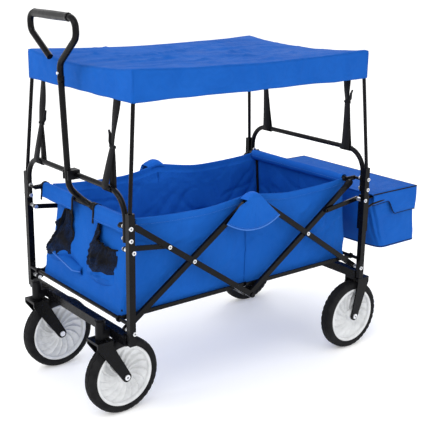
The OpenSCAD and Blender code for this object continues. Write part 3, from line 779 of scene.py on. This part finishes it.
HEM_FROM, HEM_THICK = 0.91, 1.0
columns = []
for side, count in ((0, 70), (1, 130), (2, 70), (3, 130)):
    columns += [side + (1 - math.cos(math.pi * k / count)) / 2 for k in range(count)]
rows = []
for t in (0, 0.012, *np.linspace(0.03, 0.9, 36), 0.905, 0.912, 0.95, 0.985, 1.0):
    row = []
    for s in columns:
        x, y, z = tub_point(s, t)
        if t > HEM_FROM and int(s) % 2:
            x += math.copysign(HEM_THICK, x)
        elif t > HEM_FROM:
            y += math.copysign(HEM_THICK, y)
        if abs(x) > 170:
            x += math.copysign(pivot_swell(t, y), x)
        row.append(mm(x, y, z))
    rows.append(row)
tub = Shape()
tub.grid(rows, close_columns=True)
tub.grid([[Vector((p.x * (1 - t), MID + (p.y - MID) * (1 - t), p.z + 0.0015 * math.sin(math.pi * t)))
           for p in rows[0]] for t in np.linspace(0, 1, 12)], close_columns=True, flip=True)
tub_obj = tub.make("tub_shell", blue, "front_frame", ["tub"])
welded(tub_obj, 2e-5)
thicken(tub_obj, 1.4, -1)
folds(tub_obj)

piping = Shape()
for quarter in (0.004, 0.996, 2.004, 2.996):
    for inward, width in ((3.2, 7), (-0.9, 4)):
        points, sides = [], []
        for t in np.linspace(0.01, 0.985, 22):
            x, y, z = tub_point(quarter, t)
            points.append(mm(x - math.copysign(inward, x), y - math.copysign(inward, y), z))
            sides.append(Vector((1, -math.copysign(1, x * y), 0)))
        piping.band(points, sides, width, 1.4)
folds(piping.make("tub_corner_binding", binding, "front_frame"))

welt = Shape()
for s, across in ((1.5, ALONG_Y), (3.5, ALONG_Y), (2.5, ALONG_X)):
    for outward in (0.15, -1.7):
        points = []
        for t in np.linspace(0.02, 0.9, 26):
            x, y, z = tub_point(s, t)
            if across is ALONG_X:
                y += outward
            else:
                x += math.copysign(outward, x)
            points.append(mm(x, y, z))
        welt.band(points, across, 1.6, 1.0)
folds(welt.make("tub_panel_seams", blue, "front_frame"))

STITCH_LINE = 0.93
sewing = Shape()
for sx in (-1, 1):
    line = []
    for share in np.linspace(-0.97, 0.97, 160):
        x, y, z = tub_point(1 + (share + 1) / 2 if sx > 0 else 3 + (1 - share) / 2, STITCH_LINE)
        line.append(mm(x + sx * (1.1 + pivot_swell(STITCH_LINE, y)), y, z))
    sewing.stitches(line, ALONG_X * sx)
folds(sewing.make("rim_stitching", thread_blue, "front_frame"))


# --- flaps over the upper centre pivots
HOOD = [(193, 486), (196, 493), (200, 499), (206, 502), (214, 502.4), (221, 501.4), (226, 498),
        (228.2, 493)]
FLAP_ROWS, FLAP_OUT, FLAP_TOP, FLAP_DROP = 26, 228.2, 493, 81


def side_flap(side):
    """A hood from inside the rim over the braces, then a half-round flap that hangs outside them."""
    tag = "left" if side > 0 else "right"
    rows = []
    for i in range(FLAP_ROWS):
        row = []
        for u in (-1 + 2 * j / 44 for j in range(45)):
            if i < len(HOOD):
                out, z = HOOD[i]
                half = (27 + i * 0.4) if u < 0 else (27 - i)
                z -= (5 + 10 * math.sin(i / 7 * math.pi)) * abs(u) ** 2.2
            else:
                t = (i - len(HOOD) + 1) / (FLAP_ROWS - len(HOOD))
                z = FLAP_TOP - 5 * u * u * (1 - t) - t * (FLAP_DROP - 24 * abs(u) ** 2.2)
                half = (30 + 54 * t) if u < 0 else (20 + 56 * t)
                out = FLAP_OUT - 10 * smooth(0.35, 1, -u) * smooth(0, 0.3, t)
                out += 3.4 * t * (1 - 0.4 * t) * crease(u * 3.1, t * 0.6, side, 41)
            row.append(mm(side * out, u * half, z))
        rows.append(row)
    flap = Shape()
    flap.grid(rows, flip=side > 0)
    folds(thicken(flap.make(f"side_flap_{tag}", blue, "front_frame",
                            ["side_flaps"] if side > 0 else ()), 1.4))
    edge = Shape()
    edge.band([p + ALONG_X * (side * 0.0008) for p in rows[-1]], ALONG_Z, 3.2, 1.4)
    edge.stitches([p + ALONG_X * (side * 0.0009) for p in rows[-2]], ALONG_X * side)
    folds(edge.make(f"side_flap_hem_{tag}", thread_blue, "front_frame"))


side_flap(1)
side_flap(-1)


# --- rails and poles
RAIL_RADIUS, RAIL_TIP_RADIUS, PLATE_X, POLE_RADIUS = 7, 4.5, 199, 4.7
for end, sign, tip in (("front", -1, 208), ("rear", 1, 196)):
    rail = Shape()
    rail.tube([mm(x, sign * RAIL_Y, RAIL_Z) for x in (-tip, 1.5 - tip, -100, 0, 100, tip - 1.5, tip)],
              [RAIL_TIP_RADIUS, *[RAIL_RADIUS] * 5, RAIL_TIP_RADIUS], 24)
    pin_y = sign * (POST_Y + 3)
    for side in (-1, 1):
        x = side * PLATE_X
        rail.band([mm(x, sign * (RAIL_Y - 4), RAIL_Z), mm(x, pin_y, RAIL_Z)], ALONG_Z, 12, 2.4)
        rail.tube([mm(x, pin_y, RAIL_Z), mm(x + side * 20, pin_y, RAIL_Z)], 4, 16)
    rail.make(f"{end}_rail_tube", steel, f"{end}_frame", [f"{end}_rail"])

for end, sign, body in (("front", -1, "canopy"), ("rear", 1, "rear_poles")):
    low, high = (Vector(c) * 1000 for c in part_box(f"{end}_canopy_poles"))
    poles = Shape()
    for side in (-1, 1):
        foot = mm(side * POST_X, sign * POST_Y, low.z)
        top = mm(side * (CX - 8), sign * (CY - 9), high.z - 3)
        poles.tube(rounded_path([foot, foot + ALONG_Z * 0.028, top], [90], 6), POLE_RADIUS, 20)
    poles.make(f"{end}_canopy_pole_tubes", steel, body, [f"{end}_canopy_poles"])


# --- hems over the rails
# How far in front of the rail's axis, and how high: from the wall over the rail and down.
HEM = [(-12, 478), (-11, 486), (-4, 490.3), (0, 491.2), (5, 490.2), (8.2, 486.5), (9.4, 481),
       (9.8, 474), (10.2, 466), (10.8, 459), (11.4, 454.6), (10.0, 454.0), (8.4, 458)]
HEM_SEAM = 9  # the point of the outline that the stitches follow


def front_hem(x0, x1, name, replaced=()):
    rows = []
    for x in np.linspace(x0, x1, 29):
        row = []
        for i, (forward, z) in enumerate(HEM):
            loose = smooth(6, 11, i)
            row.append(mm(x, -RAIL_Y - forward + loose * (1.8 * wrinkle(x / 22, i / 6, 0, 6) - 1.0),
                          z + loose * 2.0 * wrinkle(x / 40, 0, 0, 7)))
        rows.append(row)
    hem = Shape()
    hem.grid(rows, flip=True)
    thicken(hem.make(name, blue, "front_frame", replaced), 1.3, 1)
    seam = Shape()
    seam.stitches([row[HEM_SEAM] - ALONG_Y * 0.0016 for row in rows], -ALONG_Y)
    seam.make(name + "_stitching", thread_blue, "front_frame")
    tabs = Shape()
    for x in (x0 + 1.5, x1 - 1.5):
        points = [mm(x, -RAIL_Y - forward, z + 1.2) for forward, z in HEM[1:4]]
        points += [mm(x, -RAIL_Y - forward - 0.9, z + 0.5) for forward, z in HEM[4:11]]
        points.append(mm(x, -RAIL_Y - 13, 446))
        tabs.band(points, ALONG_X, 7, 1.6)
    tabs.make(name + "_tabs", binding, "front_frame")


front_hem(-203, -44, "front_hem_right", ["front_hems"])
front_hem(52, 203, "front_hem_left")


# --- cup pockets on the front panel
def wall_y(z):
    return -tub_length(z)


def pocket(tag, low_x, low_z, top, cad, pouch_drop):
    """Gathered netting over a blue pouch; top lists (share, x, z) points along the mouth."""
    shares, top_x, top_z = zip(*top)
    wide, rise = low_x[1] - low_x[0], low_z[1] - low_z[0]
    own = low_x[0]  # gives each pocket its own wrinkles
    rows = []
    for i in range(23):
        t = i / 22
        row = []
        for j in range(49):
            u = j / 48
            x0 = low_x[0] + wide * u
            z0 = low_z[0] + rise * u - 6 * math.sin(math.pi * u)
            x = x0 + (float(np.interp(u, shares, top_x)) - x0) * t
            z = z0 + (float(np.interp(u, shares, top_z)) - z0) * t
            bulge = (1 - abs(2 * u - 1) ** 2.6) * (17 + 9 * math.sin(math.pi * min(t * 1.2, 1)))
            bulge *= 1 - 0.75 * smooth(398, 440, z)
            gather = 2.2 * smooth(0.1, 0.8, t) * math.sin(u * 52 + 3 * t)
            gather += 6.0 * wrinkle(u * 5, t * 3, own, 8) + 8 * crease(u * 4, t * 1.5, own, 10)
            row.append(mm(x, wall_y(z) - 2 - max(bulge + gather * min(1, 6 * u * (1 - u)), 0), z))
        rows.append(row)
    foot_y = MID + wall_y(340) / 1000 - 0.002
    net = Shape()
    net.grid(rows)
    net.grid([[Vector((p.x, p.y + (foot_y - p.y) * t / 4, p.z - 0.0003 * t)) for p in rows[0]]
              for t in range(5)], flip=True)
    obj = net.make(f"cup_pocket_{tag}", netting, "front_frame", cad)
    welded(obj, 1e-5)
    folds(thicken(obj, 1.0))
    trim = Shape()
    trim.tube([p - ALONG_Y * 0.0004 for p in rows[-1]], 2.2, 10)
    for column in (0, -1):
        trim.tube([row[column] - ALONG_Y * 0.0006 for row in rows], 1.7, 8)
    folds(trim.make(f"cup_pocket_trim_{tag}", binding, "front_frame"))
    rows = []
    for i in range(17):
        t = i / 16
        row = []
        for j in range(37):
            u = j / 36
            swell = math.sin(math.pi * u)
            x = low_x[0] + 2 + (wide - 4) * u
            z = low_z[0] + rise * u + 8 - t * pouch_drop * (0.75 + 0.25 * swell)
            bulge = swell ** 0.8 * (21 * (1 - t ** 2.2) + 3 * math.sin(t * 7) * (1 - t))
            crumple = 8.0 * wrinkle(u * 3.5, t * 3, own, 9) + 8.0 * crease(u * 2.5, t * 3, own, 19)
            crumple *= swell * math.sin(math.pi * min(t * 1.2, 1))
            row.append(mm(x, wall_y(z) - 1.0 - max(bulge + crumple, 0), z))
        rows.append(row)
    pouch = Shape()
    pouch.grid(rows, flip=True)
    folds(thicken(pouch.make(f"pocket_pouch_{tag}", blue, "front_frame"), 1.2))


pocket("left", (20, 148), (340, 345),
       [(0, 52, 438), (0.12, 60, 446), (0.22, 70, 444), (0.34, 80, 414), (0.5, 96, 408), (1, 148, 402)],
       ["cup_pockets"], 46)
pocket("right", (-172, -46), (322, 344),
       [(0, -130, 376), (0.12, -114, 398), (0.2, -110, 396), (0.34, -104, 386), (0.55, -94, 392),
        (0.62, -92, 446), (0.84, -64, 448), (0.92, -58, 412), (1, -52, 392)], (), 34)

# The rear hem hangs over the rear rail, and moves with it.
REAR_HEM = [(353, 462), (345, 464), (338.6, 469), (336.4, 477), (337.4, 485), (340.6, 490),
            (345, 491.8), (351, 491.2), (356, 488.5), (359.2, 482), (360, 470), (360.4, 455)]
REAR_HEM_X, REAR_SEAM = 186, 3
rows = []
for x in np.linspace(-REAR_HEM_X, REAR_HEM_X, 45):
    row = []
    for i, (y, z) in enumerate(REAR_HEM):
        free = 0.9 if i in (0, len(REAR_HEM) - 1) else 0
        row.append(mm(x, y + free * wrinkle(x / 24, i, 0, 21), z + 1.2 * wrinkle(x / 40, 0, 0, 22)))
    rows.append(row)
back_hem = Shape()
back_hem.grid(rows)
thicken(back_hem.make("rear_hem", blue, "rear_frame"), 1.2)
back_seam = Shape()
back_seam.stitches([row[REAR_SEAM] - ALONG_Y * 0.0008 for row in rows], -ALONG_Y)
back_seam.make("rear_hem_stitching", thread_blue, "rear_frame")

# The folded edge of the front panel's fabric between the two pockets.
GUSSET = ((-1, 8), (-10, 6), (-19, 1), (-22, -4), (-20, -8), (-10, -12), (-1.5, -14))
rows = []
for dy, dz in GUSSET:
    row = []
    for u in np.linspace(0, 1, 25):
        z = 340 - 24 * u + dz
        swell = min(1, 0.35 + 1.3 * math.sin(math.pi * u) ** 0.7)
        row.append(mm(-130 + 134 * u, wall_y(z) + dy * swell - 1.2 * wrinkle(u * 6, dz, 0, 23), z))
    rows.append(row)
gusset = Shape()
gusset.grid(rows, flip=True)
folds(thicken(gusset.make("front_gusset", blue, "front_frame"), 1.3))
gusset_hem = Shape()
gusset_hem.band([p - ALONG_Y * 0.001 for p in rows[3]], ALONG_Z, 2.6, 1.4)
folds(gusset_hem.make("front_gusset_hem", thread_blue, "front_frame"))


# --- rear basket
BAG_LOW, BAG_HIGH, BAG_X, BAG_Y0, BAG_Y1 = 265, 430, 225, 424, 598
FRONT_LEAN, BACK_BULGE = 46, 25  # how far the bag's front and back stand further back at its foot


def bag_ring(t, count=240):
    """One level of the bag: t is 0 at the bottom and 1 at the rim."""
    half = BAG_X - 2 - 3 * (1 - t)
    y0 = BAG_Y0 + 1 + FRONT_LEAN * (1 - t) ** 1.3
    y1 = BAG_Y1 - 1 + BACK_BULGE * (1 - t) ** 0.8
    z = BAG_LOW + t * (BAG_HIGH - BAG_LOW)
    cy, hy = (y0 + y1) / 2, (y1 - y0) / 2
    calm = math.sin(math.pi * t)
    ring = []
    for k in range(count):
        a = (k + 0.5) * math.tau / count
        power = 0.2 if math.sin(a) < 0 else 0.08
        cx = math.copysign(abs(math.cos(a)) ** power, math.cos(a))
        cs = math.copysign(abs(math.sin(a)) ** power, math.sin(a))
        x, y = cx * half, cy + cs * hy
        ripple = 3.4 * wrinkle(x / 40, y / 40, z / 90, 11) + 1.8 * wrinkle(x / 15, y / 15, z / 60, 12)
        gather = math.sin(a * 15 + z / 30 + 3 * wrinkle(x / 60, y / 60, z / 70, 18))
        ripple += 2.6 * max(0, -cs) * abs(cx) * gather
        ripple += 2.6 * crease(x / 80 + z / 60, y / 80, z / 120, 17)
        d = Vector((x, (y - cy) * half / hy, 0)).normalized()
        x += d.x * calm * (ripple - 2)
        y += d.y * calm * (ripple + 2)
        ring.append(mm(x, y, z - 5 * (1 - t) * (1 - abs(x) / half)))
    return ring


rows = [bag_ring(t) for t in (0, 0.02, *np.linspace(0.05, 1, 24))]
centre = sum(rows[0], Vector()) / len(rows[0])
bag = Shape()
bag.grid(rows, close_columns=True)
bag.grid([[p.lerp(centre, t) - ALONG_Z * (0.004 * math.sin(math.pi * t / 2)) for p in rows[0]]
          for t in np.linspace(0, 1, 9)], close_columns=True, flip=True)
obj = bag.make("basket_shell", blue, "rear_frame", ["basket_bag"])
welded(obj, 1e-5)
thicken(obj, 1.4, -1)
bag_seams = Shape()
bag_seams.tube([*rows[1], rows[1][0]], 1.2, 8, caps=False)
bag_seams.make("basket_base_piping", binding, "rear_frame")

LID_X, LID_Y0, LID_Y1, LID_TOP = 231, 422, 602, 434
SKIRT_SHORT, SKIRT_STEP = 27, 40  # the lid's skirt is short near the hinge and deep behind it


def lid_top(x, y):
    u, v = x / LID_X, (y - (LID_Y0 + LID_Y1) / 2) / ((LID_Y1 - LID_Y0) / 2)
    sag = 4.0 * (1 - u * u) * (1 - v * v)
    edge = 3.0 * max(0, 1 - min(LID_X - abs(x), LID_Y1 - y) / 7) ** 2
    edge += 3 * smooth(LID_Y0 + 60, LID_Y0, y)
    return mm(x, y, LID_TOP - sag - edge + 1.4 * wrinkle(x / 70, y / 40, 0, 15) * (1 - v * v))


def lid_skirt(x, y, out):
    depth = SKIRT_SHORT + SKIRT_STEP * smooth(LID_Y0 + 62, LID_Y0 + 96, y)
    column = []
    for t in (0, 0.05, 0.15, 0.3, 0.45, 0.5, 0.52, 0.7, 0.85, 1.0):
        flare = 2.2 * math.sin(math.pi * t) + 1.6 * t * wrinkle(x / 40, y / 30, t, 16) - 2.0 * t
        column.append(lid_top(x, y) - ALONG_Z * (depth * t / 1000) + out * (flare / 1000))
    return column


xs, ys = np.linspace(-LID_X, LID_X, 60), np.linspace(LID_Y0, LID_Y1, 52)
right_skirt = [lid_skirt(-LID_X, y, -ALONG_X) for y in ys]
left_skirt = [lid_skirt(LID_X, y, ALONG_X) for y in ys]
back_skirt = [lid_skirt(x, LID_Y1, ALONG_Y) for x in xs]
lid = Shape()
lid.grid([[lid_top(x, y) for x in xs] for y in ys])
lid.grid(right_skirt, flip=True)
lid.grid(left_skirt)
lid.grid(back_skirt, flip=True)
obj = lid.make("basket_cover", blue, "basket_lid", ["basket_lid"])
welded(obj, 1e-4)
thicken(obj, 1.4)

PIPING_Z = LID_TOP - 2.2
round_edge = [(-LID_X, y) for y in ys] + [(x, LID_Y1) for x in xs[1:]] + [(LID_X, y) for y in ys[-2::-1]]
lid_trim = Shape()
lid_trim.tube([mm(x, y, PIPING_Z) for x, y in round_edge], 1.7, 8)
lid_trim.tube([column[-1] for column in (*right_skirt, *back_skirt[1:], *left_skirt[-2::-1])], 1.3, 8)
lid_trim.make("basket_cover_piping", binding, "basket_lid")

hanger = Shape()
for side in (-1, 1):
    route = [mm(side * x, y, z) for x, y, z in (
        (236, POST_Y + 8, 372), (233, POST_Y + 12, 398), (231, POST_Y + 46, 408), (229, 468, 412))]
    hanger.tube(rounded_path(route, [14, 30], 6), 3.2, 12)
hanger.make("basket_hanger", steel, "rear_frame")


# --- stage, light, camera
FLOOR_HALF, FLOOR_GLOW, SKY = 30, 0.22, 1.0
WHITE = (1, 1, 1, 1)
paint = coated("studio floor", (0.90, 0.90, 0.90), (0.93, 0.93, 0.93), 0.9, 200, 0.0)
glow = paint.node_tree.nodes["Principled BSDF"].inputs
glow["Emission Color"].default_value = WHITE
glow["Emission Strength"].default_value = FLOOR_GLOW
corners = [(x * FLOOR_HALF, y * FLOOR_HALF, 0) for x, y in ((-1, -1), (1, -1), (1, 1), (-1, 1))]
floor = new_object("studio_floor", corners, [(0, 1, 2, 3)], paint, shade=False)

world = bpy.data.worlds.new("studio")
world.use_nodes = True
sky = world.node_tree.nodes["Background"]
sky.inputs["Color"].default_value = WHITE
sky.inputs["Strength"].default_value = SKY
bpy.context.scene.world = world


def softbox(name, place, size, watts, target=(0, 0, 0.4)):
    light = bpy.data.lights.new(name, "AREA")
    light.shape = "RECTANGLE"
    light.size, light.size_y = size
    light.energy = watts
    obj = bpy.data.objects.new(name, light)
    aim = (Vector(place) - Vector(target)).to_track_quat("Z", "Y")
    obj.matrix_world = Matrix.Translation(place) @ aim.to_matrix().to_4x4()
    obj.visible_camera = False
    bpy.context.scene.collection.objects.link(obj)


softbox("inside_fill", (0, MID, 0.74), (0.36, 0.60), 1.4, target=(0, MID, 0))
softbox("strip_light", (-0.6, -3.2, 2.0), (0.14, 1.8), 16)
softbox("key_light", (1.2, -2.6, 3.2), (2.4, 2.4), 45)
softbox("side_light", (3.4, 0.6, 1.8), (2.0, 2.0), 16)
softbox("back_light", (-2.2, 2.4, 2.8), (2.0, 2.0), 30)

# The camera stands at the front left corner, a little above the canopy's height.
AZIMUTH, ELEVATION, ROLL = math.radians(51.603), math.radians(16.421), math.radians(0.861)
DISTANCE, SHIFT_RIGHT, SHIFT_UP = 2.338, 0.033, -0.097
SENSOR, FOCAL_SHARE = 36, 3290.6 / 1568  # focal length as a share of the picture's width
back = Vector((math.sin(AZIMUTH) * math.cos(ELEVATION), -math.cos(AZIMUTH) * math.cos(ELEVATION),
               math.sin(ELEVATION)))
right = Vector((math.cos(AZIMUTH), math.sin(AZIMUTH), 0))
up = back.cross(right)
right, up = (math.cos(ROLL) * right + math.sin(ROLL) * up, -math.sin(ROLL) * right + math.cos(ROLL) * up)
eye = Vector((0, MID, 0.5)) + back * DISTANCE + right * SHIFT_RIGHT + up * SHIFT_UP
lens = bpy.data.cameras.new("camera")
lens.sensor_width = SENSOR
lens.lens = SENSOR * FOCAL_SHARE
camera = bpy.data.objects.new("camera", lens)
camera.matrix_world = Matrix((
    (right.x, up.x, back.x, eye.x), (right.y, up.y, back.y, eye.y), (right.z, up.z, back.z, eye.z),
    (0, 0, 0, 1)))
bpy.context.scene.collection.objects.link(camera)
bpy.context.scene.camera = camera
bpy.context.scene.view_settings.view_transform = "Standard"
